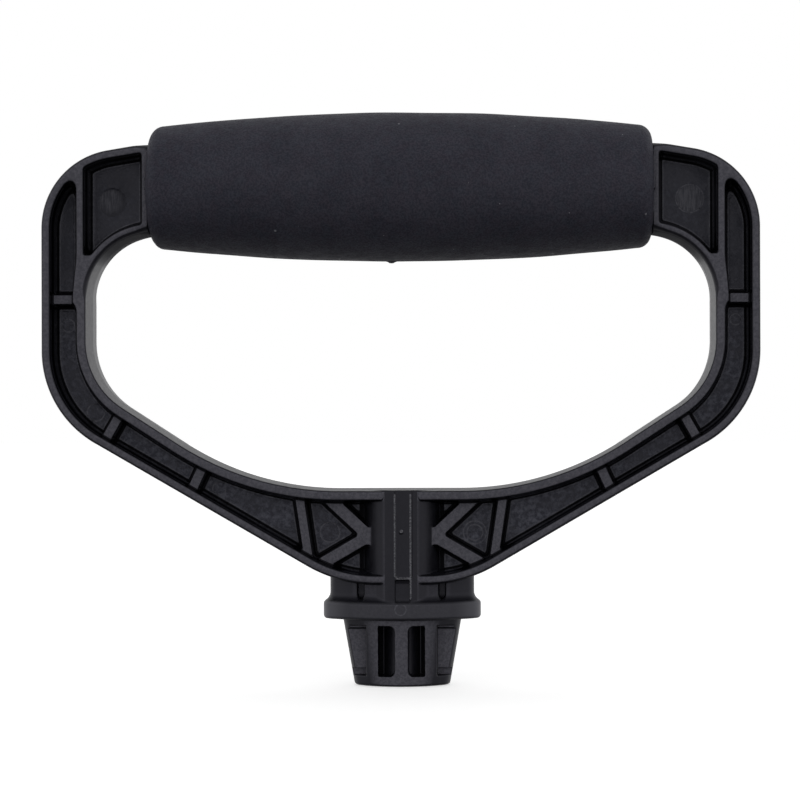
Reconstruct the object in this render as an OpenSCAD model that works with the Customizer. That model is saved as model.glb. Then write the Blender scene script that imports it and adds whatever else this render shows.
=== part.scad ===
// D-shaped pull handle: one ribbed moulding with a tapered oval plug below, and a moulded-on foam grip.
// Millimetres. X runs across the handle, Y through it (front is -Y), Z up.
// The origin is on the plug's axis, at the underside of the flange where the handle seats.

/* [Loop] */
// Overall width of the loop
loop_w = 181; // [170:1:190]
// Depth of the rims, front to back
rim_depth = 17; // [14:0.5:18]
// Thickness of the outer rim
outer_rim = 2.3; // [1.6:0.1:2.6]
// Thickness of the inner rim round the hand opening
inner_rim = 2.5; // [1.5:0.1:2.8]
// Width of one side arm, from the outside to the hand opening
arm_w = 11.5; // [9:0.5:12]
// Thickness of the web on the mid-plane
web_t = 3.0; // [2:0.5:4]
// Slope of the two lower beams, in degrees
beam_angle = 30.15; // [28:0.05:32]
// Depth of the cross ribs, front to back
rib_depth = 12; // [8:0.5:13]
// Thickness of a cross rib
rib_t = 2.2; // [1.8:0.1:3]

/* [Grip] */
// Height of the grip's axis above the seat
grip_z = 109.3; // [107:0.1:111]
// Length of the foam
grip_l = 126; // [110:1:126]
// Diameter of the foam in the middle
grip_d = 37.9; // [32:0.1:42]
// Diameter of the foam at its ends
grip_end_d = 30.6; // [26:0.1:32]
// Diameter of the moulded bar inside the foam
bar_d = 22; // [18:0.5:23]

/* [Hub and plug] */
// Height of the floor of the hand opening above the seat
hub_top = 32.4; // [30:0.1:34]
// Diameter of the central boss
boss_d = 19; // [17:0.5:20]
// Width of the flange
flange_w = 39.8; // [37:0.2:42]
// Depth of the flange, front to back
flange_depth = 19.8; // [19:0.2:22]
// Thickness of the flange
flange_t = 4.0; // [3:0.1:5]
// Length of the plug below the flange
plug_l = 17.2; // [14:0.2:20]
// Width of the plug at the flange
plug_w = 30.2; // [28:0.2:32]
// Width of the plug at its tip
plug_tip_w = 24.2; // [22:0.2:27]
// Depth of the plug at the flange, front to back
plug_depth = 16.6; // [15:0.2:17]
// Depth of the plug at its tip, front to back
plug_tip_depth = 14; // [13:0.2:15]
// Diameter of the blind fixing bore
bore_d = 6; // [4:0.1:6.4]
// Depth of the fixing bore above the seat
bore_top = 22; // [15:1:26]

/* [Hidden] */

eps = 0.01;
arc_step = 6;                       // degrees per facet on a drawn outline
half_w = loop_w / 2;
open_x = half_w - arm_w;            // half the width of the hand opening

// Outer outline of the loop, right half from the bottom up: [x, z, corner radius]
loop_foot = 8.65;                   // underside of the lower rim beside the boss
foot_x = 15.8;                      // where the beam's underside would meet that level
loop_head = 120.1;                  // top of the loop beside the foam
head_x = 62.5;
shoulder_angle = 9.5;
outer_corners = [
    [foot_x, loop_foot, 34],
    [half_w, loop_foot + (half_w - foot_x) * tan(beam_angle), 27],
    [half_w, loop_head - (half_w - head_x) * tan(shoulder_angle), 20],
    [head_x, loop_head, 10]
];

// Hand opening, right half from the bottom up: [x, z, corner radius]
open_head = 97.2;                   // top of the opening beside the foam
sill_x = 37.6;                      // where the flat sill turns up into the beam
sill_angle = 33;
open_corners = [
    [sill_x, hub_top, 75],
    [open_x, hub_top + (open_x - sill_x) * tan(sill_angle), 20],
    [open_x, open_head, 16.5]
];

// Walls that close the loop's arms at the ends of the foam
end_wall_t = 1.9;
end_wall_d = 24.4;

// Moulded bar under the foam: a cross of webs with discs
bar_web = 3.2;
bar_disc_t = 3;
bar_discs = 7;

// Foam outline
foam_edge_r = 2.5;                  // rounding of the foam's end edges
foam_steps = 12;                    // facets along half the barrel and round its edge

// Ribs of the right side, each from point a to point b in the X-Z plane
arm_rib_z = 80.6;
cross_ribs = [
    [[open_x, arm_rib_z], [half_w - 1, arm_rib_z]],
    [[70.8, 51.9], [75.8, 43.2]],
    [[49.9, 38.7], [53.5, 31.0]],
    [[25.8, 31.5], [23.3, 14.5]]
];
v_rib_t = 2.9;
v_rib_depth = 11.2;
v_ribs = [
    [[7.4, 20.0], [19.4, 31.2]],
    [[7.4, 21.2], [20.8, 13.4]]
];

// Gate well: the shallow channel down the front of the boss
well_w = 4.4;
well_floor = 8.75;                  // distance of its floor from the mid-plane
well_foot = 10.2;                   // height of its lower end
well_x = 0.7;                       // it sits a little off the axis

// Neck between the loop and the flange
neck_w = 36.6;
neck_depth = 15.6;
neck_top = 12;
groove_w = 1.6;                     // slot between the boss and each neck panel
groove_floor = 6;                   // thickness left between front and back slots

// Plug: cored between its bars
plug_core_d = 10;                   // wall round the fixing bore
plug_web = 3;
window_in = 1.75;                   // window edges, from the axis
window_out = 5.85;
window_top = -1.9;
window_foot = -14.6;
recess_in = 8.95;                   // side recess edge, from the axis
recess_web = 5.6;                   // thickness left between front and back recesses
slot_h = 1.8;                       // deeper slot at the foot of each recess
slot_web = 2.4;

// ---- Outline functions -------------------------------------------------------------------

function unit(v) = v / norm(v);
function flat(c) = [c.x, c.y];

// Points of the arc that rounds corner b, between its neighbours a and c
function arc_points(a, b, c, r) =
    let (u = unit(a - b), v = unit(c - b),
         half = acos(u * v) / 2,
         centre = b + unit(u + v) * r / sin(half),
         d0 = (b + u * r / tan(half) - centre) / r,
         d1 = (b + v * r / tan(half) - centre) / r,
         sweep = 180 - 2 * half,
         n = ceil(sweep / arc_step))
    [for (i = [0:n])
        centre + r * (d0 * sin(sweep * (n - i) / n) + d1 * sin(sweep * i / n)) / sin(sweep)];

// A half outline with its mirror image, as one closed ring of corners
function both_sides(half) =
    concat(half, [for (i = [len(half) - 1:-1:0]) [-half[i].x, half[i].y, half[i].z]]);

// The ring moved by d towards its inside, with its radii changed to suit
function inset(ring, d) =
    let (n = len(ring))
    [for (i = [0:n - 1])
        let (a = flat(ring[(i + n - 1) % n]), b = flat(ring[i]), c = flat(ring[(i + 1) % n]),
             e0 = unit(b - a), e1 = unit(c - b),
             n0 = [-e0.y, e0.x], n1 = [-e1.y, e1.x],
             p = b + (n0 + n1) * d / (1 + n0 * n1))
        [p.x, p.y, ring[i].z - d * sign(e0.x * e1.y - e0.y * e1.x)]];

// The ring as a polygon, each corner rounded by its own radius
module rounded_ring(ring) {
    n = len(ring);
    polygon([for (i = [0:n - 1])
        each arc_points(flat(ring[(i + n - 1) % n]), flat(ring[i]), flat(ring[(i + 1) % n]), ring[i].z)]);
}

// A straight bar of width w from point a to point b
module stroke(a, b, w) {
    d = b - a;
    translate(a) rotate(atan2(d.y, d.x)) translate([0, -w / 2]) square([norm(d), w]);
}

// Children drawn in X-Z, given a depth along Y, centred on the mid-plane
module through(depth) {
    rotate([90, 0, 0]) linear_extrude(height = depth, center = true) children();
}

module on_both_sides() {
    for (side = [0, 1]) mirror([side, 0, 0]) children();
}

module front_and_back() {
    for (face = [0, 1]) mirror([0, face, 0]) children();
}

// Oval of four tangent arcs, w wide and d deep
module oval(w, d) {
    a = w / 2;
    b = d / 2;
    end_r = b * b / a;
    side_r = ((a - end_r) * (a - end_r) + b * b - end_r * end_r) / (2 * (b - end_r));
    join_x = side_r * (a - end_r) / (side_r - end_r);
    intersection() {
        translate([0, b - side_r]) circle(side_r, $fn = 180);
        translate([0, side_r - b]) circle(side_r, $fn = 180);
        square([2 * join_x, 2 * b + 1], center = true);
    }
    for (side = [-1, 1]) translate([side * (a - end_r), 0]) circle(end_r, $fn = 48);
}

// ---- The moulded frame -------------------------------------------------------------------

module loop_area() {
    difference() {
        rounded_ring(both_sides(outer_corners));
        rounded_ring(both_sides(open_corners));
    }
}

// The stretch taken by the foam, where a round bar replaces the loop's flat section
module grip_gap() {
    translate([-grip_l / 2, open_head - 8]) square([grip_l, loop_head - open_head + 16]);
}

module rim_area() {
    outer = both_sides(outer_corners);
    opening = both_sides(open_corners);
    difference() {
        rounded_ring(outer);
        rounded_ring(inset(outer, outer_rim));
    }
    difference() {
        rounded_ring(inset(opening, -inner_rim));
        rounded_ring(opening);
    }
    // The inner rim of each arm also runs straight on to the top of the loop
    intersection() {
        rounded_ring(outer);
        on_both_sides() translate([open_x, arm_rib_z]) square([inner_rim, loop_head - arm_rib_z]);
    }
}

module rib_area(ribs, thickness) {
    intersection() {
        loop_area();
        on_both_sides() for (rib = ribs) stroke(rib[0], rib[1], thickness);
    }
}

module loop() {
    through(web_t) difference() { loop_area(); grip_gap(); }
    through(rim_depth) difference() { rim_area(); grip_gap(); }
    through(rib_depth) rib_area(cross_ribs, rib_t);
    through(v_rib_depth) rib_area(v_ribs, v_rib_t);
}

module end_walls() {
    intersection() {
        through(rim_depth) loop_area();
        on_both_sides() translate([grip_l / 2, 0, (open_head + loop_head) / 2])
            rotate([0, 90, 0]) cylinder(h = end_wall_t, d = end_wall_d, $fn = 96);
    }
}

module grip_bar() {
    span = grip_l + 2 * eps;
    pitch = (grip_l - bar_disc_t) / (bar_discs - 1);
    translate([-span / 2, 0, grip_z]) rotate([0, 90, 0]) {
        intersection() {
            cylinder(h = span, d = bar_d, $fn = 96);
            union() {
                translate([-bar_web / 2, -bar_d / 2, 0]) cube([bar_web, bar_d, span]);
                translate([-bar_d / 2, -bar_web / 2, 0]) cube([bar_d, bar_web, span]);
            }
        }
        for (i = [0:bar_discs - 1])
            translate([0, 0, eps + i * pitch]) cylinder(h = bar_disc_t, d = bar_d, $fn = 96);
    }
}

module boss() {
    cylinder(h = hub_top, d = boss_d, $fn = 96);
}

module gate_well() {
    translate([well_x, -boss_d / 2, 0]) rotate([90, 0, 0])
        translate([-well_w / 2, well_foot, well_floor - boss_d / 2]) cube([well_w, hub_top, boss_d]);
}

module neck() {
    difference() {
        linear_extrude(height = neck_top) oval(neck_w, neck_depth);
        on_both_sides() front_and_back()
            translate([boss_d / 2 - eps, groove_floor / 2, flange_t])
                cube([groove_w, neck_depth, neck_top]);
    }
}

module flange() {
    linear_extrude(height = flange_t) oval(flange_w, flange_depth);
}

module plug_body() {
    hull() {
        translate([0, 0, -eps]) linear_extrude(height = 2 * eps) oval(plug_w, plug_depth);
        translate([0, 0, -plug_l]) linear_extrude(height = eps) oval(plug_tip_w, plug_tip_depth);
    }
}

module plug_window() {
    difference() {
        translate([window_in, plug_web / 2, window_foot])
            cube([window_out - window_in, plug_depth, window_top - window_foot]);
        translate([0, 0, -plug_l]) cylinder(h = plug_l, d = plug_core_d, $fn = 64);
    }
}

module plug_recess() {
    translate([recess_in, recess_web / 2, window_foot])
        cube([plug_w, plug_depth, window_top - window_foot]);
    translate([recess_in, slot_web / 2, window_foot]) cube([plug_w, plug_depth, slot_h]);
}

module plug() {
    difference() {
        plug_body();
        on_both_sides() front_and_back() {
            plug_window();
            plug_recess();
        }
    }
}

module handle_frame() {
    color([0.075, 0.078, 0.088]) difference() {
        union() {
            loop();
            end_walls();
            grip_bar();
            boss();
            neck();
            flange();
            plug();
        }
        gate_well();
        translate([0, 0, -plug_l - 1]) cylinder(h = bore_top + plug_l + 1, d = bore_d, $fn = 64);
    }
}

// ---- The foam grip -----------------------------------------------------------------------

// Radius of the barrel at a distance along its axis from the middle
function barrel_r(along) =
    grip_d / 2 - (grip_d - grip_end_d) / 2 * pow(along / (grip_l / 2), 2);

function half_barrel() =
    let (last = grip_l / 2 - foam_edge_r, edge = barrel_r(last) - foam_edge_r)
    concat(
        [for (i = [0:foam_steps]) [barrel_r(last * i / foam_steps), last * i / foam_steps]],
        [for (i = [1:foam_steps])
            [edge + foam_edge_r * cos(90 * i / foam_steps), last + foam_edge_r * sin(90 * i / foam_steps)]]);

module foam_grip() {
    half = half_barrel();
    color([0.06, 0.062, 0.072]) translate([0, 0, grip_z]) rotate([0, 90, 0])
        difference() {
            rotate_extrude($fn = 120)
                polygon(concat(
                    [[0, -grip_l / 2]],
                    [for (i = [len(half) - 1:-1:1]) [half[i].x, -half[i].y]],
                    half,
                    [[0, grip_l / 2]]));
            cylinder(h = grip_l + 2, d = bar_d, center = true, $fn = 96);
        }
}

handle_frame();
foam_grip();
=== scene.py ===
"""Looks of the D-shaped pull handle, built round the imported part.

The moulded frame is a distance field in millimetres, negative inside, which OpenVDB turns into
one mesh, so that rims, ribs, boss and plug run into each other with fillets as in one moulding.
The foam grip is a turned skin with soft lumps and creases. X runs across the handle, Y through
it (front is -Y) and Z up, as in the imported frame.
"""

import math

import bpy
import numpy as np
import openvdb
from mathutils import Matrix, Vector, noise


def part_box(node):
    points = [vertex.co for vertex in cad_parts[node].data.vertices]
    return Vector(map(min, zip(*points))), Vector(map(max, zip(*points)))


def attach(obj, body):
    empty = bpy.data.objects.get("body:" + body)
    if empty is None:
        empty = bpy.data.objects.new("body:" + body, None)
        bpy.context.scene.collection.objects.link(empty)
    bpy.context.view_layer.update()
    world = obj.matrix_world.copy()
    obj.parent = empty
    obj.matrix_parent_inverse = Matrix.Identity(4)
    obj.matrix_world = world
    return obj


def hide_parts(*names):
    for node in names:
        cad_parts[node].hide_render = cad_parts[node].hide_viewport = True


MM = 0.001
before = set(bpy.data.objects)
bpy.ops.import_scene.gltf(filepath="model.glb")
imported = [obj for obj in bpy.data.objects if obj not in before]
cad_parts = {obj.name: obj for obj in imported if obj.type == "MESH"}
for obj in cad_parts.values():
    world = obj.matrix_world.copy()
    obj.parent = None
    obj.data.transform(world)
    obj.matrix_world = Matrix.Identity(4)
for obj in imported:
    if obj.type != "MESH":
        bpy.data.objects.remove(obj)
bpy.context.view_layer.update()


def node_box(node):
    """The lowest and highest corners of a CAD node, in millimetres."""
    low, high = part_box(node)
    return low / MM, high / MM


# ---- Sizes, in millimetres --------------------------------------------------------------

frame_low, frame_high = node_box("handle_frame")
foam_low, foam_high = node_box("foam_grip")

HALF_W = frame_high.x
PLUG_FOOT = frame_low.z
GRIP_Z = (foam_low.z + foam_high.z) / 2
FOAM_BULGE = 0.5                    # the soft ends reach this far past the rigid model's
GRIP_HALF = foam_high.x + FOAM_BULGE
GRIP_R = (foam_high.z - foam_low.z) / 2
GRIP_END_R = 15.3
BAR_R = 11.0

# The loop. Corners are (x, z, radius) of the right half, from the bottom up
OPEN_X = 79.0
OPEN_TOP = 97.2
LOOP_TOP = 120.1
BEAM_SLOPE = math.tan(math.radians(30.15))
SILL_SLOPE = math.tan(math.radians(33))
SHOULDER_SLOPE = math.tan(math.radians(9.5))
FOOT_X, FOOT_Z = 15.8, 8.65
SILL_X, SILL_Z = 37.6, 32.4
HEAD_X = 62.5
OUTER_CORNERS = [
    (FOOT_X, FOOT_Z, 34),
    (HALF_W, FOOT_Z + (HALF_W - FOOT_X) * BEAM_SLOPE, 27),
    (HALF_W, LOOP_TOP - (HALF_W - HEAD_X) * SHOULDER_SLOPE, 20),
    (HEAD_X, LOOP_TOP, 10),
]
OPEN_CORNERS = [
    (SILL_X, SILL_Z, 75),
    (OPEN_X, SILL_Z + (OPEN_X - SILL_X) * SILL_SLOPE, 20),
    (OPEN_X, OPEN_TOP, 16.5),
]
RIM_FRONT = 8.5                     # the rims' front, from the mid-plane
WEB_FRONT = 1.5
OUTER_RIM = 2.3
INNER_RIM = 2.6
CORNER_RIM = 2.4                    # the inner rim thins where it turns under the corner pocket
OPEN_LIP = 0.3                      # how far the parting line stands into the opening
OUTER_DRAFT = math.tan(math.radians(0.7))
OPEN_DRAFT = math.tan(math.radians(3.5))
POCKET_DRAFT = math.tan(math.radians(5))
EDGE, RIM_EDGE = 0.35, 0.70         # rounding of the ribs' edges and of the rims'
CRISP = 0.2                         # rounding of the sharpest edges
OUTER_EDGE = 1.1                    # rounding of the loop's outer edges
OPEN_EDGE, HIGH_EDGE = 0.6, 1.7     # and of the opening's, low down and near the grip
FLOOR_FILLET = 0.8
RIB_FILLET = 1.1
# A fine raised line runs round each pocket's floor, this far from its walls' tops
FLOOR_LINE, LINE_HEIGHT, LINE_WIDTH = 1.4, 0.12, 0.28
UPRIGHT_IN = 79.65                  # inner side of the rim that runs on up to the loop's top
# A step part way down that rim's inner side
STEP_X, STEP_FRONT, STEP_EDGE, STEP_FILLET = 79.2, 4.2, 0.15, 0.25
# The rims stand proud where they end on the boss, and the upper ones end on a slant
TIP_X, TIP_RISE, TIP_SLANT, TIP_EDGE = 4.1, 0.3, 0.35, 0.25

# Ribs of the right half: (end, end, thickness)
ARM_RIB_Z = 80.6
RIB_FRONT = 6.0
RIBS = [
    ((OPEN_X, ARM_RIB_Z), (HALF_W - 1, ARM_RIB_Z), 2.1),
    ((70.8, 51.9), (75.8, 43.2), 2.1),
    ((49.9, 38.7), (53.5, 31.0), 2.2),
    ((25.8, 31.5), (23.3, 14.5), 2.0),
]
V_FRONT = 5.6
V_RIBS = [
    ((7.4, 20.0), (19.4, 31.2), 2.7),
    ((7.4, 21.2), (20.8, 13.4), 2.7),
]
RIB_REACH = 1.5                     # how far a rib's ends are buried in the rims

# Where the loop meets the grip
COLLAR_T = 1.6
ROUND_R = 12.9                      # the loop's section is round here, and grows squarer along the arm
ROUND_GROWTH = 0.42
ROUND_EDGE = 1.2
CORNER_BLEND = 4.0                  # height over which the corner's sizes take over from the arm's
CORNER_FILLET = 0.6
TIP_FILLET = 3.2                    # rounding of the outer pocket's tip
FOOT_FILLET = 0.5                   # rounding of the corner pocket's foot and head
# The corner pocket's foot is filled up to here, to just behind the rims' front
FOOT_TOP, FOOT_DROP, FOOT_EDGE = 91.8, 0.35, 0.4
FOOT_REACH, FOOT_BURIED = 5.0, 0.5

# The bar inside the foam: a cross of webs with discs
BAR_WEB, BAR_DISC, BAR_REACH = 1.6, 1.5, 0.5
GAP_DROP = 8.0                      # the space for the foam reaches this far below the opening's top

# Boss, gate well, neck and flange
BOSS_R, BOSS_EDGE, BOSS_FILLET = 9.5, 0.5, 0.35
WELL_LEFT, WELL_RIGHT, WELL_FOOT, WELL_FLOOR, WELL_CORNER = -1.5, 2.9, 10.2, 8.75, 0.7
LOW_WELL_RIGHT, LOW_WELL_HEAD, LOW_WELL_FLOOR, LOW_WELL_CORNER = 2.3, 9.8, 8.5, 0.4
LOW_WELL_RISE = 0.3                 # its floor steps back towards its head
WELL_EDGE = 0.12
FLANGE_W, FLANGE_D, FLANGE_T, FLANGE_EDGE = 39.8, 19.8, 4.0, 0.55
NECK_W, NECK_D, NECK_TOP, NECK_FILLET = 36.6, 15.6, 12.0, 2.4
GROOVE_IN, GROOVE_OUT, GROOVE_FLOOR = 9.3, 11.2, 3.0
HUB_FILLET = 0.3

# Ejector-pin marks on the front: (x, z, radius, height), where a negative height is a dent
MARK_EDGE = 0.3
EJECTOR_MARKS = [
    (-84.7, 74.2, 1.6, 0.10),
    (-77.8, 52.1, 2.2, -0.10),
    (-46.4, 32.7, 1.65, -0.10),
    (-18.3, 21.5, 2.5, -0.14),
    (18.5, 21.4, 2.0, 0.12),
    (18.5, 21.4, 2.9, 0.06),
    (84.8, 75.3, 1.4, 0.08),
    (73.3, 106.0, 3.55, 0.16),
    (-0.1, 2.5, 1.4, 0.06),
    (0.1, -9.4, 1.5, 0.06),
]
DISC = EJECTOR_MARKS[7]             # this mark is a whole pale disc
DISH_X, DISH_Z, DISH_R, DISH_DEPTH = -73.5, 105.4, 3.7, 0.45
# Flash left by the mould round its insert on the front of the boss: ((x, z), (x, z))
FLASH_LINES = [
    ((-1.5, 10.9), (-1.5, 31.2)),
    ((-1.5, 10.9), (-0.9, 10.3)),
    ((-0.9, 10.3), (2.4, 10.3)),
    ((2.4, 5.2), (2.4, 31.2)),
]
FLASH_HEIGHT, FLASH_WIDTH = 0.16, 0.26
GATE_X, GATE_Z, GATE_R, GATE_HEIGHT = 0.1, 21.9, 0.6, 0.25

# Plug
PLUG_W, PLUG_D = 30.2, 16.6
TIP_W, TIP_D = 24.2, 14.0
TIP_R = 0.7
CORE_R = 4.7
BORE_R, BORE_TOP, BORE_EDGE = 3.0, 22.0, 0.3
WINDOW_IN, WINDOW_OUT, WINDOW_TOP, WINDOW_FOOT, WINDOW_R = 1.75, 5.85, -1.9, -14.6, 1.3
RECESS_IN, RECESS_FLOOR, SLOT_TOP, SLOT_FLOOR = 8.95, 2.8, -12.8, 1.2
LEDGE_H, LEDGE_STEP, LEDGE_SLOPE = 0.9, 0.6, 0.3

# ---- Distance helpers -------------------------------------------------------------------


def cut(a, b, r):
    """Intersection of two fields with its edge rounded by r."""
    reach = np.sqrt(np.maximum(a + r, 0) ** 2 + np.maximum(b + r, 0) ** 2)
    return np.minimum(np.maximum(a, b), -r) + reach


def join(a, b, r):
    """Union of two fields with a fillet of radius r."""
    reach = np.sqrt(np.maximum(r - a, 0) ** 2 + np.maximum(r - b, 0) ** 2)
    return np.maximum(np.minimum(a, b), r) - reach


def unit(v):
    return v / np.hypot(*v)


def outline(x, z, right_half):
    """Distance to a closed convex outline with rounded corners, negative inside."""
    ring = right_half + [(-cx, cz, r) for cx, cz, r in reversed(right_half)]
    best = np.full(np.broadcast(x, z).shape, np.inf, np.float32)
    runs = []
    for before, corner, after in zip(ring[-1:] + ring[:-1], ring, ring[1:] + ring[:1]):
        p = np.array(corner[:2])
        back, ahead = unit(np.array(before[:2]) - p), unit(np.array(after[:2]) - p)
        half = math.acos(back @ ahead) / 2
        r = corner[2]
        runs.append((p + back * r / math.tan(half), p + ahead * r / math.tan(half)))
        middle = unit(back + ahead)
        cx, cz = p + middle * r / math.sin(half)
        away = -((x - cx) * middle[0] + (z - cz) * middle[1])
        reach = np.hypot(x - cx, z - cz)
        arc = reach - r
        in_sector = away >= reach * math.sin(half) - 1e-6
        best = np.where(in_sector & (abs(arc) < abs(best)), arc, best)
    for (_, start), (end, _) in zip(runs, runs[1:] + runs[:1]):
        ahead = unit(end - start)
        dx, dz = x - start[0], z - start[1]
        along = np.clip(dx * ahead[0] + dz * ahead[1], 0, np.hypot(*(end - start)))
        side = dx * ahead[1] - dz * ahead[0]
        line = np.copysign(np.hypot(dx - along * ahead[0], dz - along * ahead[1]), side)
        best = np.where(abs(line) < abs(best), line, best)
    return best.astype(np.float32)


def bars(x, z, ribs):
    """Distance to the sides of straight ribs, buried at both ends, which run into each other."""
    found = None
    for start, end, thickness in ribs:
        start, end = np.array(start), np.array(end)
        ahead = unit(end - start)
        start, end = start - ahead * RIB_REACH, end + ahead * RIB_REACH
        dx, dz = x - start[0], z - start[1]
        along = np.clip(dx * ahead[0] + dz * ahead[1], 0, np.hypot(*(end - start)))
        side = np.hypot(dx - along * ahead[0], dz - along * ahead[1]) - thickness / 2
        found = side if found is None else join(found, side, RIB_FILLET)
    return found.astype(np.float32)


def oval(ax, ay, width, depth):
    """Distance to an oval of four tangent arcs, from its positive quarter."""
    a, b = width / 2, depth / 2
    end_r = b * b / a
    side_r = ((a - end_r) ** 2 + b * b - end_r ** 2) / (2 * (b - end_r))
    drop = side_r - b
    at_end = ax * drop > (ay + drop) * (a - end_r)
    return np.where(at_end, np.hypot(ax - a + end_r, ay) - end_r, np.hypot(ax, ay + drop) - side_r)


def step(v):
    """From 0 to 1, smoothly, as v goes from 0 to 1."""
    v = np.clip(v, 0, 1)
    return v * v * (3 - 2 * v)


def slab(v, low, high):
    """Distance to the space between two planes."""
    return abs(v - (low + high) / 2) - (high - low) / 2


# ---- The moulded frame as a distance field ----------------------------------------------


def rim_walls(ax, z, outer, opening):
    """Distance in the plane to the rims round the pockets, at their fronts."""
    corner = step((z - ARM_RIB_Z) / CORNER_BLEND)
    inner_rim = INNER_RIM + (CORNER_RIM - INNER_RIM) * corner
    from_collar = np.where(z > ARM_RIB_Z, ax - GRIP_HALF - COLLAR_T, HALF_W)
    walls = join(-outer - OUTER_RIM, opening - inner_rim, CORNER_FILLET)
    walls = join(walls, from_collar, CORNER_FILLET)
    upright = np.maximum(slab(ax, UPRIGHT_IN, OPEN_X + INNER_RIM), ARM_RIB_Z - z)
    fillet = FOOT_FILLET + (TIP_FILLET - FOOT_FILLET) * step((ax - UPRIGHT_IN) / 2)
    return join(walls, upright, fillet)


def pocket_walls(ax, z, outer, opening):
    """Distance in the plane to the nearest rim, rib or boss, with the pockets' corners rounded."""
    walls = rim_walls(ax, z, outer, opening)
    for ribs in (RIBS, V_RIBS):
        walls = join(walls, bars(ax, z, ribs), RIB_FILLET)
    return join(walls, ax - BOSS_R, RIB_FILLET)


def floor_line(walls):
    """From 0 to 1: how near a point of the plane is to the line round its pocket's floor."""
    return np.exp(-((walls - FLOOR_LINE) / LINE_WIDTH) ** 2)


def loop_field(ax, ay, z, outer, opening):
    """Rims, web and ribs of the loop, which turns round and closes where the foam begins."""
    outer_d = -outer - OUTER_DRAFT * ay
    open_d = opening + OPEN_LIP - OPEN_DRAFT * ay
    proud = TIP_RISE * step((2.5 * TIP_X - ax) / TIP_X)
    front = ay - RIM_FRONT - proud
    walls = rim_walls(ax, z, outer, opening)
    rims = cut(walls + POCKET_DRAFT * front, front, RIM_EDGE)
    upper_slant = TIP_SLANT * (SILL_Z - 1 - z) * (z > NECK_TOP + 5)
    rims = cut(rims, TIP_X + upper_slant - ax, TIP_EDGE)
    web = ay - WEB_FRONT - LINE_HEIGHT * floor_line(pocket_walls(ax, z, outer, opening))
    field = join(web, rims, FLOOR_FILLET)
    for ribs, rib_front in ((RIBS, RIB_FRONT), (V_RIBS, V_FRONT)):
        # Below the ribs' fronts the ribs and the rims share one rounded wall
        shared = join(walls, bars(ax, z, ribs), RIB_FILLET) + POCKET_DRAFT * (ay - RIM_FRONT)
        field = join(field, cut(shared, ay - rib_front, EDGE), FLOOR_FILLET)
    rim_step = np.maximum(slab(ax, STEP_X, OPEN_X + INNER_RIM), ARM_RIB_Z - z)
    field = join(field, cut(rim_step, ay - STEP_FRONT, STEP_EDGE), STEP_FILLET)
    foot = slab(ax, UPRIGHT_IN - FOOT_REACH, UPRIGHT_IN + FOOT_BURIED)
    foot = np.maximum(foot, slab(z, ARM_RIB_Z + 1, FOOT_TOP))
    field = join(field, cut(foot, ay - RIM_FRONT + FOOT_DROP, FOOT_EDGE), CORNER_FILLET)
    high = step((z - ARM_RIB_Z + 1) / CORNER_BLEND)
    open_edge = OPEN_EDGE + (HIGH_EDGE - OPEN_EDGE) * high
    skin = np.maximum(cut(-outer_d, front, OUTER_EDGE), cut(-open_d, front, open_edge))
    field = cut(field, skin, EDGE)
    # Towards the foam the section turns round
    from_middle = (outer_d - open_d) / 2
    round_r = ROUND_R + ROUND_GROWTH * (ax - GRIP_HALF)
    rounding = (np.hypot(ay, from_middle) - round_r) / math.hypot(1, ROUND_GROWTH)
    near_grip = np.where((ax < OPEN_X) & (z > ARM_RIB_Z), rounding, -RIM_FRONT)
    field = cut(field, near_grip, ROUND_EDGE)
    gap = np.maximum(ax - GRIP_HALF, OPEN_TOP - GAP_DROP - z)
    return np.maximum(field, -gap)


def bar_field(ax, ay, z):
    """The bar inside the foam."""
    az = abs(z - GRIP_Z)
    cross = np.minimum(ay, az) - BAR_WEB
    pitch = (GRIP_HALF - BAR_DISC) / 3
    discs = abs(ax - pitch * np.round(ax / pitch)) - BAR_DISC
    inside = np.maximum(np.hypot(ay, az) - BAR_R, ax - GRIP_HALF - BAR_REACH)
    return np.maximum(np.minimum(cross, discs), inside)


def hub_field(x, ax, y, ay, z, outer):
    """Boss with its gate well, neck and flange."""
    across = np.hypot(x, y)
    boss = cut(across - BOSS_R, slab(z, 0, SILL_Z), BOSS_EDGE)
    well = cut(slab(x, WELL_LEFT, WELL_RIGHT), WELL_FOOT - z, WELL_CORNER)
    well = np.maximum(well, y + WELL_FLOOR)
    low_well = cut(slab(x, WELL_LEFT, LOW_WELL_RIGHT), z - LOW_WELL_HEAD, LOW_WELL_CORNER)
    low_floor = LOW_WELL_FLOOR + LOW_WELL_RISE * step(z - LOW_WELL_HEAD + 1)
    low_well = np.maximum(low_well, y + low_floor)
    boss = cut(boss, -np.minimum(well, low_well), WELL_EDGE)
    neck = np.maximum(oval(ax, ay, NECK_W, NECK_D), slab(z, 1, NECK_TOP))
    groove = np.maximum(GROOVE_FLOOR - ay, FLANGE_T - z)
    groove = np.maximum(slab(ax, GROOVE_IN, GROOVE_OUT), groove)
    neck = np.maximum(cut(neck, -groove, CRISP), -outer - 1)
    flange = cut(oval(ax, ay, FLANGE_W, FLANGE_D), slab(z, 0, FLANGE_T), FLANGE_EDGE)
    return join(join(flange, neck, NECK_FILLET), boss, BOSS_FILLET)


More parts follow.
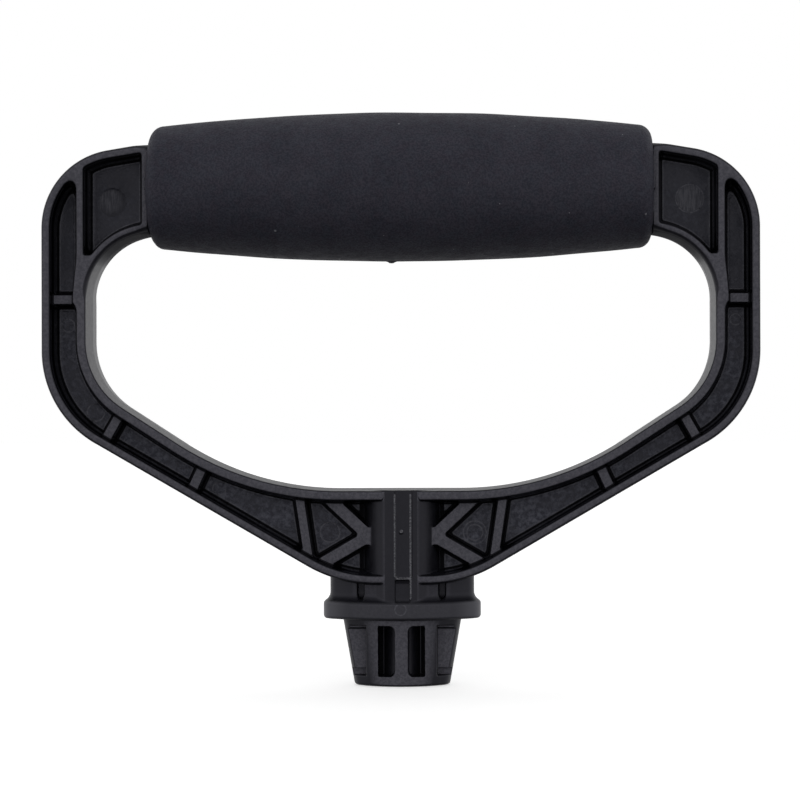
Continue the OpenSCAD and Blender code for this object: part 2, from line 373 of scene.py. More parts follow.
def plug_field(x, ax, y, ay, z):
    """Tapered oval plug, cored between its bars."""
    down = np.clip(z / PLUG_FOOT, -0.1, 1.1)
    side = oval(ax, ay, PLUG_W + (TIP_W - PLUG_W) * down, PLUG_D + (TIP_D - PLUG_D) * down)
    body = np.maximum(cut(side, PLUG_FOOT - z, TIP_R), z - 1)
    core = np.hypot(x, y) - CORE_R
    height = slab(z, WINDOW_FOOT, WINDOW_TOP)
    middle = (WINDOW_IN + WINDOW_OUT) / 2
    corner_r = np.where(ax < middle, WINDOW_R, CRISP)
    window = cut(slab(ax, WINDOW_IN, WINDOW_OUT), height, corner_r)
    window = np.maximum(window, np.maximum(WEB_FRONT - ay, -core))
    floor = RECESS_FLOOR + LEDGE_STEP * step((z - WINDOW_TOP + LEDGE_H) / LEDGE_SLOPE)
    recess = np.maximum(cut(RECESS_IN - ax, height, CRISP), floor - ay)
    slot_height = slab(z, WINDOW_FOOT, SLOT_TOP)
    slot = np.maximum(cut(RECESS_IN - ax, slot_height, CRISP), SLOT_FLOOR - ay)
    return cut(body, -np.minimum(np.minimum(window, recess), slot), CRISP)


def flash(x, z):
    """From 0 to 1: how near a point is to the flash lines down the boss."""
    nearest = np.inf
    for start, end in FLASH_LINES:
        start, run = np.array(start), np.array(end) - np.array(start)
        along = np.clip(((x - start[0]) * run[0] + (z - start[1]) * run[1]) / (run @ run), 0, 1)
        away = np.hypot(x - start[0] - along * run[0], z - start[1] - along * run[1])
        nearest = np.minimum(nearest, away)
    return np.exp(-(nearest / FLASH_WIDTH) ** 2)


def relief(x, z):
    """How far pin marks, the dished mark, flash lines and the gate raise the front faces."""
    height = np.zeros(np.broadcast(x, z).shape, np.float32)
    for cx, cz, r, rise in EJECTOR_MARKS:
        height += rise * step((r - np.hypot(x - cx, z - cz)) / MARK_EDGE + 0.5)
    inside = 1 - ((x - DISH_X) ** 2 + (z - DISH_Z) ** 2) / DISH_R ** 2
    height -= DISH_DEPTH * np.sqrt(np.clip(inside, 0, 1))
    height += FLASH_HEIGHT * flash(x, z)
    inside = 1 - ((x - GATE_X) ** 2 + (z - GATE_Z) ** 2) / GATE_R ** 2
    return height + GATE_HEIGHT * np.sqrt(np.clip(inside, 0, 1))


def handle_field(x, y, z):
    """The whole moulding."""
    ax, ay = abs(x), abs(y)
    outer, opening = outline(x, z, OUTER_CORNERS), outline(x, z, OPEN_CORNERS)
    loop = np.minimum(loop_field(ax, ay, z, outer, opening), bar_field(ax, ay, z))
    body = join(loop, hub_field(x, ax, y, ay, z, outer), HUB_FILLET)
    body = np.minimum(body, plug_field(x, ax, y, ay, z))
    bore = np.maximum(np.hypot(x, y) - BORE_R, z - BORE_TOP)
    return cut(body, -bore, BORE_EDGE) - relief(x, z) * (y < 0)


# ---- Field to mesh ----------------------------------------------------------------------

VOXEL = 0.25
MARGIN = 1.0
BAND_VOXELS = 3                     # the field is kept only this close to the surface
SLAB_ROWS = 40                      # the field is worked out this many rows at a time


def axis_points(low, high):
    """Where the grid's points lie along one axis."""
    return np.arange(low - MARGIN, high + MARGIN + VOXEL, VOXEL, dtype=np.float32)


def field_mesh(name, field, low, high):
    """Meshes field(x, y, z) between two corners."""
    xs, ys, zs = (axis_points(a, b) for a, b in zip(low, high))
    values = np.empty((len(xs), len(ys), len(zs)), np.float32)
    for k in range(0, len(zs), SLAB_ROWS):
        rows = zs[k:k + SLAB_ROWS]
        block = field(xs[:, None, None], ys[None, :, None], rows[None, None, :])
        values[:, :, k:k + SLAB_ROWS] = block
    band = BAND_VOXELS * VOXEL
    np.clip(values, -band, band, out=values)
    grid = openvdb.FloatGrid(band)
    grid.copyFromArray(values)
    points, quads = grid.convertToQuads(isovalue=0)
    points = points * VOXEL + np.array([xs[0], ys[0], zs[0]], np.float32)
    mesh = bpy.data.meshes.new(name)
    mesh.vertices.add(len(points))
    mesh.vertices.foreach_set("co", (points * MM).ravel())
    mesh.loops.add(quads.size)
    mesh.loops.foreach_set("vertex_index", quads.astype(np.int32).ravel())
    mesh.polygons.add(len(quads))
    mesh.polygons.foreach_set("loop_start", np.arange(0, quads.size, 4, dtype=np.int32))
    mesh.update(calc_edges=True)
    return mesh


def add_object(name, mesh):
    obj = bpy.data.objects.new(name, mesh)
    bpy.context.scene.collection.objects.link(obj)
    return obj


def thin_out(obj, most_triangles):
    """Collapses faces where the surface is flat, and applies the result."""
    triangles = sum(len(p.vertices) - 2 for p in obj.data.polygons)
    if triangles <= most_triangles:
        return
    modifier = obj.modifiers.new("thin", "DECIMATE")
    modifier.ratio = most_triangles / triangles
    modifier.use_collapse_triangulate = True
    evaluated = obj.evaluated_get(bpy.context.evaluated_depsgraph_get())
    thinned = bpy.data.meshes.new_from_object(evaluated)
    obj.modifiers.clear()
    obj.data = thinned


def vertex_places(mesh):
    """The mesh's vertices, in millimetres."""
    places = np.empty(len(mesh.vertices) * 3)
    mesh.vertices.foreach_get("co", places)
    return places.reshape(-1, 3) / MM


def shade_by_field(mesh, field):
    """Sets the normals from the field's gradient, so that flats stay flat and edges crisp."""
    places = vertex_places(mesh).astype(np.float32)
    normals = np.empty_like(places)
    for axis in range(3):
        ahead, behind = places.copy(), places.copy()
        ahead[:, axis] += VOXEL / 2
        behind[:, axis] -= VOXEL / 2
        normals[:, axis] = field(*ahead.T) - field(*behind.T)
    normals /= np.maximum(np.linalg.norm(normals, axis=1, keepdims=True), 1e-9)
    mesh.shade_smooth()
    mesh.normals_split_custom_set_from_vertices(normals)


RIM_SOFT, MASK_SOFT, MASK_GAP = 0.3, 0.2, 0.1
WINDOW_LIP = 1.5                    # the windows' mask begins this far behind the plug's front


def hollow_mask(x, y, z, outer, opening):
    """Where the moulding is hollow, and its walls are painted dark as painted shade: pockets without
    the boss or filled feet, and windows.
    """
    ax, ay = abs(x), abs(y)
    across = np.hypot(x, y)
    hollow = step(rim_walls(ax, z, outer, opening) / RIM_SOFT + 1) * (ay < WELL_FLOOR + 1)
    hollow *= step((across - BOSS_R - MASK_GAP) / MASK_SOFT)
    in_foot = (z < FOOT_TOP - MASK_SOFT) * (z > ARM_RIB_Z + RIB_REACH)
    in_foot = in_foot * (ax < UPRIGHT_IN + FOOT_BURIED - MASK_GAP)
    window = np.maximum(slab(ax, WINDOW_IN, WINDOW_OUT), slab(z, WINDOW_FOOT, WINDOW_TOP))
    in_window = step(0.5 - window / MASK_SOFT) * step((across - CORE_R - MASK_GAP) / MASK_SOFT)
    in_window = in_window * (ay < PLUG_D / 2 - WINDOW_LIP)
    return np.maximum(hollow * (1 - in_foot), in_window)


def paint_masks(mesh):
    """Stores where the moulding is hollow, and how far each point is from its pocket's walls."""
    x, y, z = vertex_places(mesh).T
    outer, opening = outline(x, z, OUTER_CORNERS), outline(x, z, OPEN_CORNERS)
    walls = np.clip(pocket_walls(abs(x), z, outer, opening), -1, 2 * FLOOR_LINE)
    for name, values in (("hollow", hollow_mask(x, y, z, outer, opening)), ("wall_distance", walls)):
        layer = mesh.attributes.new(name, "FLOAT", "POINT")
        layer.data.foreach_set("value", values.astype(np.float32))


FRAME_TRIANGLES = 195_000

handle = add_object("moulded_frame", field_mesh("moulded_frame", handle_field, frame_low, frame_high))
thin_out(handle, FRAME_TRIANGLES)
shade_by_field(handle.data, handle_field)
paint_masks(handle.data)
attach(handle, "root")
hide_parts("handle_frame")

# ---- Foam grip --------------------------------------------------------------------------

FOAM_EDGE = 3.5
FOAM_RINGS, EDGE_RINGS, END_RINGS = 260, 12, 8
FOAM_SPOKES = 240
END_FADE = 3.0                            # the skin's relief fades out towards the bar
LUMP_HEIGHT, LUMP_SIZE = 0.12, 14.0
CREASE_DEPTH, CREASE_SIZE, CREASE_WIDTH = 0.05, 3.2, 0.08
CREASED_AREA = 25.0
CREASE_SHIFT, AREA_SHIFT = Vector((7, 3, 5)), Vector((2, 9, 4))
SEAM_HEIGHT, SEAM_WIDTH = 0.09, 0.35      # the mould's parting line, along top and bottom
NUB_X, NUB_R, NUB_HEIGHT = -2.5, 0.9, 0.45


def barrel_radius(x):
    """Radius of the grip's barrel."""
    return GRIP_R - (GRIP_R - GRIP_END_R) * (x / GRIP_HALF) ** 2


def foam_profile():
    """Outline of half the grip's section, from its left end to its right, as (x, radius)."""
    last = GRIP_HALF - FOAM_EDGE
    inner = barrel_radius(last) - FOAM_EDGE
    turn = np.radians(np.linspace(90, 0, EDGE_RINGS, endpoint=False))
    edge = [(last + FOAM_EDGE * math.sin(t), inner + FOAM_EDGE * math.cos(t)) for t in turn]
    middle = [(x, barrel_radius(x)) for x in np.linspace(-last, last, FOAM_RINGS)]
    end = [(GRIP_HALF, r) for r in np.linspace(BAR_R, inner, END_RINGS, endpoint=False)]
    left = [(-x, r) for x, r in end + edge]
    return left + middle + edge[::-1] + end[::-1]


def foam_relief(x, y, z):
    """How far lumps, creases, the parting line and the nub stand off the turned shape."""
    place = Vector((x, y, z))
    height = LUMP_HEIGHT * noise.noise(place / LUMP_SIZE)
    crease = 1 - abs(noise.noise(place / CREASE_SIZE + CREASE_SHIFT)) / CREASE_WIDTH
    creased = noise.noise(place / CREASED_AREA + AREA_SHIFT)
    height -= CREASE_DEPTH * max(0.0, crease) * max(0.0, creased)
    height += SEAM_HEIGHT * math.exp(-(y / SEAM_WIDTH) ** 2)
    if z < GRIP_Z:
        height += NUB_HEIGHT * math.exp(-(math.hypot(x - NUB_X, y) / NUB_R) ** 4)
    return height - LUMP_HEIGHT / 2


def turned_mesh(name, profile, spokes):
    """A skin turned round the grip's axis, with the foam's relief."""
    angles = np.linspace(0, 2 * math.pi, spokes, endpoint=False)
    points = []
    for x, r in profile:
        skin = step((r - BAR_R) / END_FADE)
        for a in angles:
            y, up = r * math.sin(a), r * math.cos(a)
            share = 1 + skin * foam_relief(x, y, GRIP_Z + up) / r
            points.append((x, y * share, GRIP_Z + up * share))
    rings = len(profile)
    faces = []
    for ring in range(rings):
        here, there = ring * spokes, (ring + 1) % rings * spokes
        for s in range(spokes):
            t = (s + 1) % spokes
            faces.append((here + s, there + s, there + t, here + t))
    mesh = bpy.data.meshes.new(name)
    mesh.from_pydata((np.array(points) * MM).tolist(), [], faces)
    mesh.shade_smooth()
    return mesh


foam = add_object("foam_skin", turned_mesh("foam_skin", foam_profile(), FOAM_SPOKES))
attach(foam, "root")
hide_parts("foam_grip")

# ---- Materials --------------------------------------------------------------------------

# Colours are linear. A pair is the dark and the pale end of a mottle
# Pocket walls and window insides are painted near black: painted shade
HOLLOW_SHADE_TONE = (0.0010, 0.0010, 0.0016, 1)
SKIN_TONES = (0.0068, 0.0068, 0.0098, 1), (0.0108, 0.0108, 0.0145, 1)
# Faces turned to the front or back are painted paler than the rest of the same plastic: painted light
LIT_FACE_TONES = (0.0600, 0.0588, 0.0710, 1), (0.0960, 0.0942, 0.1110, 1)
FLOOR_DARK_TONES = (0.0070, 0.0074, 0.0125, 1), (0.0190, 0.0197, 0.0290, 1)
FLOOR_PALE_TONES = (0.0400, 0.0413, 0.0550, 1), (0.0900, 0.0925, 0.1150, 1)
HIGH_FLOOR_TONES = (0.0100, 0.0104, 0.0150, 1), (0.0180, 0.0186, 0.0250, 1)
DISC_TONES = (0.034, 0.034, 0.042, 1), (0.078, 0.078, 0.090, 1)
# The dish is painted darker away from its lit side: painted shading
DISH_SHADING_TONE = (0.012, 0.012, 0.016, 1)
# A dark patch painted on the floor above and to the right of the dish: painted shadow
DISH_SHADOW_TONE = (0.003, 0.003, 0.006, 1)
# The flange gets its own paler tone, and its ends are painted paler still: painted reflection of the
# side light
FLANGE_TONES = (0.034, 0.034, 0.040, 1), (0.105, 0.105, 0.118, 1)      # middle and ends
# The neck, set back between the flange and the loop, is painted darker: painted shade
NECK_SHADE_TONE = (0.010, 0.010, 0.014, 1)
# Pale rings painted round the pin marks' edges: painted highlight over their real steps
RING_HIGHLIGHT_TONE = (0.100, 0.100, 0.115, 1)
# The raised line round each floor is painted paler: painted highlight on a real ridge
LINE_HIGHLIGHT_TONE = (0.085, 0.085, 0.098, 1)
# The flash lines and the gate are painted pale and speckled: painted highlight on their real ridge and
# bump
FLASH_HIGHLIGHT_TONE = (0.170, 0.170, 0.185, 1)
FOAM_COLD_TONES = (0.0175, 0.0190, 0.0285, 1), (0.0235, 0.0245, 0.0355, 1)
FOAM_WARM_TONES = (0.0215, 0.0195, 0.0285, 1), (0.0275, 0.0255, 0.0360, 1)
FOAM_COLD_GRAIN = (0.0340, 0.0365, 0.0500, 1), (0.0415, 0.0430, 0.0575, 1)
FOAM_WARM_GRAIN = (0.0390, 0.0360, 0.0490, 1), (0.0470, 0.0440, 0.0585, 1)
SPECK_TONE = (0.22, 0.22, 0.24, 1)
SHEEN_TINT = (0.88, 0.87, 1.0, 1)
PLASTIC_SHINE, FOAM_SHINE = 0.36, 0.30

# Noise textures per metre, with the part of their range that is used
MOTTLE = dict(scale=800, detail=5.0, rough=0.7, low=0.38, high=0.64)
PATCHES = dict(scale=150, detail=3.0, rough=0.55, low=0.43, high=0.58)
SCUFFS = dict(scale=1500, detail=3.0, rough=0.7, low=0.38, high=0.64)
FOAM_BLOTCH = dict(scale=75, detail=3.0, rough=0.55, low=0.38, high=0.62)
FOAM_MOTTLE = dict(scale=420, detail=4.0, rough=0.65, low=0.36, high=0.64)
FOAM_GRAIN = dict(scale=2200, detail=2.0, rough=0.6, low=0.36, high=0.64)
SPECKS = (260, 0.93), (520, 0.965)      # cells per metre, and the share without a speck

# Limits between which each mask goes from 0 to 1, in millimetres
FRONT_HALF = -0.5, -1.0
OUTSIDE_WEBS = 5.0, 5.4
RECESS_SIDE, RECESS_HEAD = (8.8, 9.1), (-1.9, -2.3)
BOSS_FACE_SIDE, BOSS_FACE_FOOT = (4.2, 4.0), (4.0, 4.4)
FLOOR_START = FLOOR_LINE - 0.25, FLOOR_LINE + 0.05
LINE_SIDE, LINE_DEPTH = (0.24, 0.06), (2.6, 2.0)
RING_SIDE, FLASH_SIDE = (0.26, 0.04), (0.32, 0.12)
# The gate's pale spot, a painted highlight, sits above the bump's middle
GATE_SIDE, GATE_RAISE = (0.50, 0.30), 0.2
FLASH_DEPTH = -7.8, -8.2
DISC_EDGE = 0.5
# Where the painted shadow by the dish is centred, and how far it reaches
DISH_SHADOW_X, DISH_SHADOW_Z, DISH_SHADOW_REACH = DISH_X + 2.2, DISH_Z + 4.6, (4.8, 1.6)
# The dish is painted lighter near this point and darker further off: painted shading
DISH_LIT_X, DISH_LIT_Z, DISH_SHADE = DISH_X - 0.7, DISH_Z + 0.7, (1.6, 4.0)
LEFT_CORNER = -60.0, -62.0
FLANGE_FOOT, FLANGE_HEAD, FLANGE_SIDE = (-0.4, 0.2), (4.4, 4.0), (12.5, 19.0)
NECK_FOOT, NECK_HEAD, NECK_DEPTH = (4.0, 5.0), (12.5, 12.0), (8.2, 8.0)
HIGH_FLOOR, HIGH_WALL = (82, 88), (84, 94)


def new_material(name):
    material = bpy.data.materials.new(name)
    material.use_nodes = True
    return material, material.node_tree.nodes["Principled BSDF"]


class Nodes:
    """Adds nodes to one material or world, and gives back the output socket of each."""

    def __init__(self, tree):
        self.tree = tree

    def add(self, kind, inputs=(), output=0, **settings):
        node = self.tree.nodes.new("ShaderNode" + kind)
        for name, value in settings.items():
            setattr(node, name, value)
        for socket, value in dict(inputs).items():
            self.put(node.inputs[socket], value)
        return node.outputs[output]

    def put(self, socket, value):
        if isinstance(value, bpy.types.NodeSocket):
            self.tree.links.new(value, socket)
        else:
            socket.default_value = value

    def maths(self, operation, a, b=0.0):
        return self.add("Math", {0: a, 1: b}, operation=operation)

    def size(self, value):
        return self.maths("ABSOLUTE", value)

    def without(self, mask):
        return self.maths("SUBTRACT", 1.0, mask)

    def all_of(self, *masks):
        """The product of several masks."""
        result = masks[0]
        for mask in masks[1:]:
            result = self.maths("MULTIPLY", result, mask)
        return result

    def any_of(self, *masks):
        """The greatest of several masks."""
        result = masks[0]
        for mask in masks[1:]:
            result = self.maths("MAXIMUM", result, mask)
        return result

    def ramp(self, value, low, high, out_low=0.0, out_high=1.0):
        limits = {"From Min": low, "From Max": high, "To Min": out_low, "To Max": out_high}
        return self.add("MapRange", {"Value": value, **limits}, interpolation_type="SMOOTHSTEP")

    def edge(self, value, limits, out_low=0.0, out_high=1.0):
        """A ramp over a length in metres, with its limits in millimetres."""
        return self.ramp(value, limits[0] * MM, limits[1] * MM, out_low, out_high)

    def noise(self, place, scale, detail=3.0, rough=0.5):
        inputs = {"Vector": place, "Scale": scale, "Detail": detail, "Roughness": rough}
        return self.add("TexNoise", inputs)

    def mottle(self, place, scale, detail, rough, low, high):
        return self.ramp(self.noise(place, scale, detail, rough), low, high)

    def mix(self, share, first, second):
        """Mixes two colours."""
        return self.add("Mix", {0: share, 6: first, 7: second}, 2, data_type="RGBA")

    def split(self, vector):
        node = self.tree.nodes.new("ShaderNodeSeparateXYZ")
        self.put(node.inputs[0], vector)
        return node.outputs

    def vector(self, operation, a, b, output=0):
        return self.add("VectorMath", {0: a, 1: b}, output, operation=operation)

    def distance(self, place, x, z):
        """Distance of the point on the front plane from (x, z), which is in millimetres."""
        return self.vector("DISTANCE", place, (x * MM, 0, z * MM), 1)

    def segment(self, place, start, end):
        """Distance of the point on the front plane from the line between two (x, z)."""
        start, end = (Vector((x, 0, z)) * MM for x, z in (start, end))
        run = end - start
        away = self.vector("SUBTRACT", place, start)
        along = self.vector("DOT_PRODUCT", away, run / run.length_squared, 1)
        along = self.add("Clamp", {"Value": along})
        reach = self.add("VectorMath", {0: run, "Scale": along}, operation="SCALE")
        return self.vector("DISTANCE", away, reach, 1)


def plastic_masks(n, place):
    """Where each kind of surface of the moulding is, and where light and shade are painted, as masks
    from 0 to 1.
    """
    x, y, z = n.split(place)
    side, depth = n.size(x), n.size(y)
    flat = n.add("CombineXYZ", {0: x, 2: z})
    facing = n.size(n.split(n.add("NewGeometry", output=1))[1])
    front = n.edge(y, FRONT_HALF)
    walls = n.add("Attribute", output=2, attribute_name="wall_distance")

    recess = n.all_of(n.edge(side, RECESS_SIDE), n.edge(z, RECESS_HEAD))
    outside = n.any_of(n.edge(depth, OUTSIDE_WEBS), recess)
    boss_face = n.all_of(n.edge(z, BOSS_FACE_FOOT), n.edge(side, BOSS_FACE_SIDE))
    face = n.all_of(outside, n.ramp(facing, 0.85, 0.97), n.without(boss_face))
    hollow = n.add("Attribute", output=2, attribute_name="hollow")
    hollow = n.all_of(hollow, n.without(face))
    floor = n.all_of(n.ramp(walls, *FLOOR_START), n.ramp(facing, 0.80, 0.97))
    from_line = n.size(n.maths("SUBTRACT", walls, FLOOR_LINE))
    line = n.all_of(n.ramp(from_line, *LINE_SIDE), hollow, n.edge(depth, LINE_DEPTH))
    rings = []
    for cx, cz, r, _ in EJECTOR_MARKS:
        from_ring = n.size(n.maths("SUBTRACT", n.distance(flat, cx, cz), r * MM))
        rings.append(n.edge(from_ring, RING_SIDE))
    flashes = [n.edge(n.segment(flat, *ends), FLASH_SIDE) for ends in FLASH_LINES]
    flashes.append(n.edge(n.distance(flat, GATE_X, GATE_Z + GATE_RAISE), GATE_SIDE))
    discs = [n.edge(n.distance(flat, cx, cz), (r, r - DISC_EDGE))
             for cx, cz, r in ((DISH_X, DISH_Z, DISH_R), DISC[:3])]
    dish_shadow = n.edge(n.distance(flat, DISH_SHADOW_X, DISH_SHADOW_Z), DISH_SHADOW_REACH, 0.0, 0.8)
    dish_shading = n.edge(n.distance(flat, DISH_LIT_X, DISH_LIT_Z), DISH_SHADE, 0.0, 0.85)
    neck = (n.edge(z, NECK_FOOT), n.edge(z, NECK_HEAD), n.edge(depth, NECK_DEPTH))
    return {
        "facing": facing,
        "face": face,
        "hollow": hollow,
        "floor": floor,
        "line": line,
        "ring": n.all_of(n.any_of(*rings), front, n.ramp(facing, 0.80, 0.95)),
        "flash": n.all_of(n.any_of(*flashes), n.edge(y, FLASH_DEPTH)),
        "disc": n.all_of(n.any_of(*discs), front),
        "dish_shading": n.all_of(dish_shading, n.edge(x, LEFT_CORNER)),
        "dish_shadow": n.all_of(dish_shadow, front, floor),
        "flange": n.all_of(n.edge(z, FLANGE_FOOT), n.edge(z, FLANGE_HEAD)),
        "flange_end_reflection": n.edge(side, FLANGE_SIDE),
        "neck": n.all_of(*neck),
        "high_floor": n.edge(z, HIGH_FLOOR, 0.0, 0.75),
        "high_wall": n.all_of(n.edge(z, HIGH_WALL), n.ramp(facing, 0.5, 0.3), n.without(hollow)),
    }


def plastic_colour(n, place, masks, mottle, patches):
    """Skin, faces painted paler as painted light, pocket walls painted black as painted shade, and
    mottled floors, with the mould's marks, their painted highlights and painted shade over them.
    """
    scuffs = n.mottle(place, **SCUFFS)
    stretched = {"Vector": place, "Rotation": (0, 0.9, 0), "Scale": (1, 1, 0.12)}
    brush = n.ramp(n.noise(n.add("Mapping", stretched), 2600, 2.0), 0.35, 0.65)
    speckle = n.ramp(n.noise(place, 3000, 2.0), 0.40, 0.62, 0.30, 1.0)

    low_floor = n.mix(mottle, n.mix(patches, *FLOOR_DARK_TONES), n.mix(patches, *FLOOR_PALE_TONES))
    floor_tone = n.mix(masks["high_floor"], low_floor, n.mix(patches, *HIGH_FLOOR_TONES))
    # The hollows' walls, off their floors, get the near-black painted shade
    hollow_tone = n.mix(masks["floor"], HOLLOW_SHADE_TONE, floor_tone)
    colour = n.mix(masks["hollow"], n.mix(mottle, *SKIN_TONES), hollow_tone)
    layers = [
        # painted light: the faces are painted paler
        (masks["face"], n.mix(scuffs, *LIT_FACE_TONES)),
        # painted shadow on the floor by the dish
        (masks["dish_shadow"], DISH_SHADOW_TONE),
        # painted shading inside the dish
        (masks["disc"], n.mix(masks["dish_shading"], n.mix(brush, *DISC_TONES), DISH_SHADING_TONE)),
        # painted reflection: the flange's ends are painted paler
        (n.all_of(masks["flange"], 0.75), n.mix(masks["flange_end_reflection"], *FLANGE_TONES)),
        # painted shade on the neck
        (n.all_of(masks["neck"], 0.7), NECK_SHADE_TONE),
        # painted highlight round the pin marks
        (n.all_of(masks["ring"], n.ramp(scuffs, 0, 1, 0.4, 0.9)), RING_HIGHLIGHT_TONE),
        # painted highlight along the raised floor lines
        (n.all_of(masks["line"], n.ramp(mottle, 0, 1, 0.35, 0.75)), LINE_HIGHLIGHT_TONE),
        # painted highlight on the flash lines and gate
        (n.all_of(masks["flash"], speckle), FLASH_HIGHLIGHT_TONE),
    ]
    for share, tone in layers:
        colour = n.mix(share, colour, tone)
    return colour


def plastic_roughness(n, masks, mottle, patches):
    """Satin skin, glossy pocket walls, and dry faces, pocket bottoms and walls by the grip."""
    matt = n.any_of(masks["floor"], n.without(masks["hollow"]))
    rough = n.maths("ADD", n.ramp(matt, 0, 1, 0.14, 0.42), n.ramp(mottle, 0, 1, -0.02, 0.02))
    rough = n.maths("ADD", rough, n.all_of(masks["floor"], n.ramp(patches, 0, 1, -0.12, 0.08)))
    dry = n.ramp(n.any_of(masks["face"], masks["disc"]), 0, 1, 0.0, 0.55)
    deep = n.all_of(n.without(matt), n.ramp(masks["facing"], 0.5, 0.9))
    return n.any_of(rough, dry, deep, n.all_of(masks["high_wall"], 0.80))


def plastic_material():
    """Black moulded plastic."""
    material, shader = new_material("moulded_black")
    n = Nodes(material.node_tree)
    place = n.add("TexCoord", output=3)
    masks = plastic_masks(n, place)
    mottle, patches = n.mottle(place, **MOTTLE), n.mottle(place, **PATCHES)
    n.put(shader.inputs["Base Color"], plastic_colour(n, place, masks, mottle, patches))
    n.put(shader.inputs["Roughness"], plastic_roughness(n, masks, mottle, patches))
    shader.inputs["Specular IOR Level"].default_value = PLASTIC_SHINE
    shader.inputs["Specular Tint"].default_value = SHEEN_TINT
    grain = {"Strength": 0.3, "Distance": 0.03 * MM, "Height": n.noise(place, 5200, 2.0)}
    pitting = {"Strength": 0.35, "Distance": 0.12 * MM, "Height": n.all_of(mottle, masks["floor"])}
    bump = n.add("Bump", {**pitting, "Normal": n.add("Bump", grain)})
    n.put(shader.inputs["Normal"], bump)
    return material


def foam_material():
    """Black integral-skin foam: matt, mottled and finely grained, with a few pale specks."""
    material, shader = new_material("foam_black")
    n = Nodes(material.node_tree)
    place = n.add("TexCoord", output=3)
    blotch, mottle = n.mottle(place, **FOAM_BLOTCH), n.mottle(place, **FOAM_MOTTLE)
    grain = n.mottle(place, **FOAM_GRAIN)
    smooth = n.mix(mottle, n.mix(blotch, *FOAM_COLD_TONES), n.mix(blotch, *FOAM_WARM_TONES))
    grained = n.mix(mottle, n.mix(blotch, *FOAM_COLD_GRAIN), n.mix(blotch, *FOAM_WARM_GRAIN))
    specks = []
    for scale, share in SPECKS:
        cells = n.tree.nodes.new("ShaderNodeTexVoronoi")
        n.put(cells.inputs["Vector"], place)
        cells.inputs["Scale"].default_value = scale
        chosen = n.ramp(n.split(cells.outputs["Color"])[0], share, share + 0.01)
        specks.append(n.all_of(chosen, n.ramp(cells.outputs["Distance"], 0.11, 0.05)))
    speck = n.all_of(n.any_of(*specks), 0.8)
    n.put(shader.inputs["Base Color"], n.mix(speck, n.mix(grain, smooth, grained), SPECK_TONE))
    n.put(shader.inputs["Roughness"], n.ramp(mottle, 0, 1, 0.62, 0.72))
    shader.inputs["Specular IOR Level"].default_value = FOAM_SHINE
    shader.inputs["Specular Tint"].default_value = SHEEN_TINT
    fine = n.add("Bump", {"Strength": 0.5, "Distance": 0.06 * MM, "Height": grain})
    coarse = {"Strength": 0.35, "Distance": 0.20 * MM, "Height": mottle, "Normal": fine}
    n.put(shader.inputs["Normal"], n.add("Bump", coarse))
    return material


handle.data.materials.append(plastic_material())
foam.data.materials.append(foam_material())

# ---- Stage, light and camera ------------------------------------------------------------

CAMERA_PLACE = Vector((21.3, -573.5, 52.8)) * MM
CAMERA_AIM = Vector((15.85, 0, 55.02)) * MM
CAMERA_ROLL = math.radians(-0.16)
FOCAL_LENGTH = 101.35
LENS_SHIFT = -0.08                  # the lines of depth meet right of the picture's middle
FLOOR_SIZE = 8.0
FLOOR_GLOW = 0.5                    # lifts the floor to the tent's white
TENT_FRONT, TENT_BACK = 0.80, 1.03  # the tent's brightness
TENT_ABOVE = 0.5                    # and the share of it overhead, and below in front and behind
BELOW_FRONT, BELOW_BACK = 0.08, 0.5
SOFT_BOX_PLACE = Vector((0, 0.1, 1.1))
SOFT_BOX_SIZE = 1.0
SOFT_BOX_POWER = 0.3


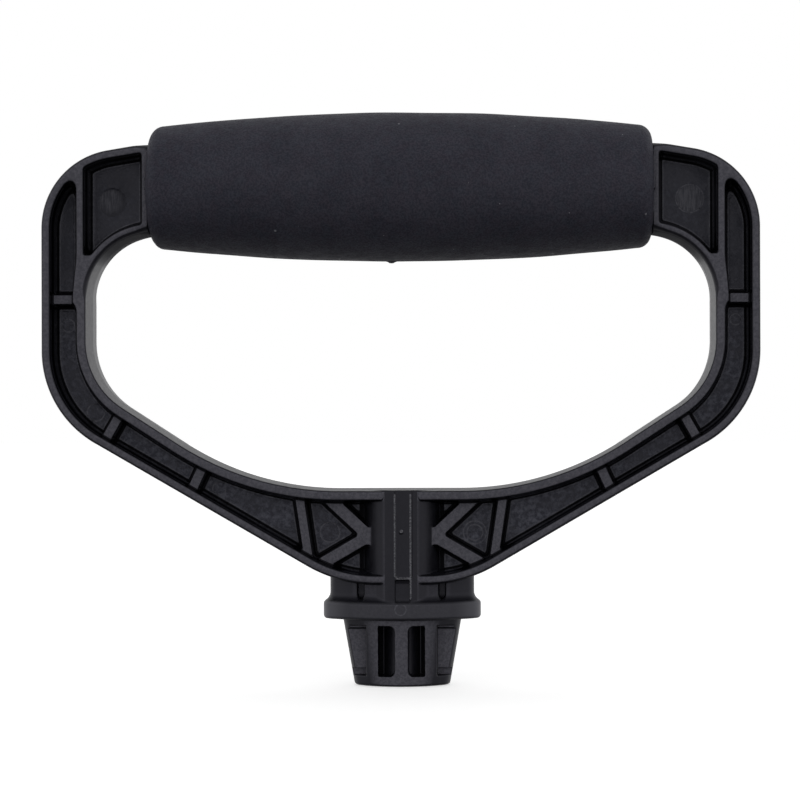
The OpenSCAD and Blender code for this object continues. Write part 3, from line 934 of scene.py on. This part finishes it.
def add_floor():
    """A pale floor just under the plug, which doesn't show in the part's own shine or light."""
    mesh = bpy.data.meshes.new("floor")
    half, height = FLOOR_SIZE / 2, (PLUG_FOOT - 0.1) * MM
    corners = [(-half, -half), (half, -half), (half, half), (-half, half)]
    mesh.from_pydata([(x, y, height) for x, y in corners], [], [(0, 1, 2, 3)])
    floor = add_object("floor", mesh)
    material, shader = new_material("pale_floor")
    shader.inputs["Base Color"].default_value = (0.95, 0.95, 0.95, 1)
    shader.inputs["Roughness"].default_value = 0.9
    shader.inputs["Emission Color"].default_value = (1, 1, 1, 1)
    shader.inputs["Emission Strength"].default_value = FLOOR_GLOW
    mesh.materials.append(material)
    floor.visible_glossy = False
    floor.visible_diffuse = False


def add_camera():
    """A camera at the angle of the picture that the part was made from."""
    camera = bpy.data.objects.new("camera", bpy.data.cameras.new("camera"))
    bpy.context.scene.collection.objects.link(camera)
    camera.location = CAMERA_PLACE
    turn = (CAMERA_AIM - CAMERA_PLACE).to_track_quat("-Z", "Y").to_matrix().to_4x4()
    roll = Matrix.Rotation(CAMERA_ROLL, 4, "Z")
    camera.matrix_world = Matrix.Translation(CAMERA_PLACE) @ turn @ roll
    camera.data.lens = FOCAL_LENGTH
    camera.data.shift_x = LENS_SHIFT
    bpy.context.scene.camera = camera


def light_scene():
    """A white tent, dimmer in front and from below, with a soft box above; it looks white."""
    world = bpy.data.worlds.new("tent")
    world.use_nodes = True
    n = Nodes(world.node_tree)
    _, y, z = n.split(n.add("TexCoord", output=0))
    below = n.ramp(y, -0.3, 0.6, BELOW_FRONT, BELOW_BACK)
    around = n.ramp(y, -0.9, 0.4, TENT_FRONT, TENT_BACK)
    level = n.all_of(around, n.ramp(z, -0.55, -0.02, below, 1.0), n.ramp(z, 0.25, 0.9, 1.0, TENT_ABOVE))
    background = world.node_tree.nodes["Background"]
    background.inputs["Color"].default_value = (1, 1, 1, 1)
    seen = n.add("LightPath", output=0)
    n.put(background.inputs["Strength"], n.add("Mix", {0: seen, 2: level, 3: 1.0}, data_type="FLOAT"))
    bpy.context.scene.world = world
    bpy.context.scene.view_settings.view_transform = "Standard"

    box = bpy.data.objects.new("soft_box", bpy.data.lights.new("soft_box", "AREA"))
    bpy.context.scene.collection.objects.link(box)
    box.location = SOFT_BOX_PLACE
    aim = Vector((0, 0, GRIP_Z * MM)) - SOFT_BOX_PLACE
    box.rotation_euler = aim.to_track_quat("-Z", "Y").to_euler()
    box.data.size = SOFT_BOX_SIZE
    box.data.energy = SOFT_BOX_POWER


add_floor()
add_camera()
light_scene()
